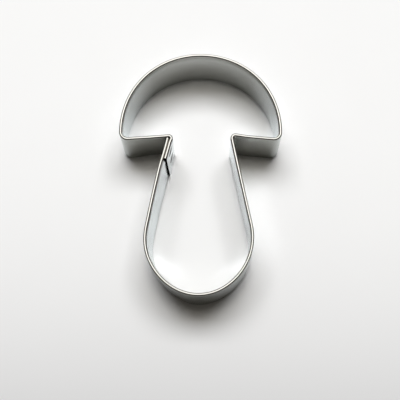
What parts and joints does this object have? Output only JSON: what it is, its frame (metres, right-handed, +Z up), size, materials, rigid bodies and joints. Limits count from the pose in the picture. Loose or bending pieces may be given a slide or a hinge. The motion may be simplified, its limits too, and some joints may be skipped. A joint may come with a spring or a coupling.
{
  "type": "cookie cutter",
  "caption": "Mushroom-outline cookie cutter: a flat steel strip stood on edge, bent round into a closed outline and spot-welded at a lap, open through top and bottom.",
  "frame": {"origin": "under the middle of the cutter's box, on the surface it stands on", "axes": "+Z up from the cutting edge to the press rim, +Y from the stem to the dome of the cap, +X to the right of the cap"},
  "size_m": [0.043, 0.065, 0.02],
  "materials": {
    "strip_steel": "satin, with a fine grain along the strip",
    "weld_steel": "dull, pressed by the welding electrodes"
  },
  "bodies": {
    "root": {"cutter_strip": "strip_steel", "spot_weld_upper": "weld_steel", "spot_weld_lower": "weld_steel"}
  },
  "joints": []
}
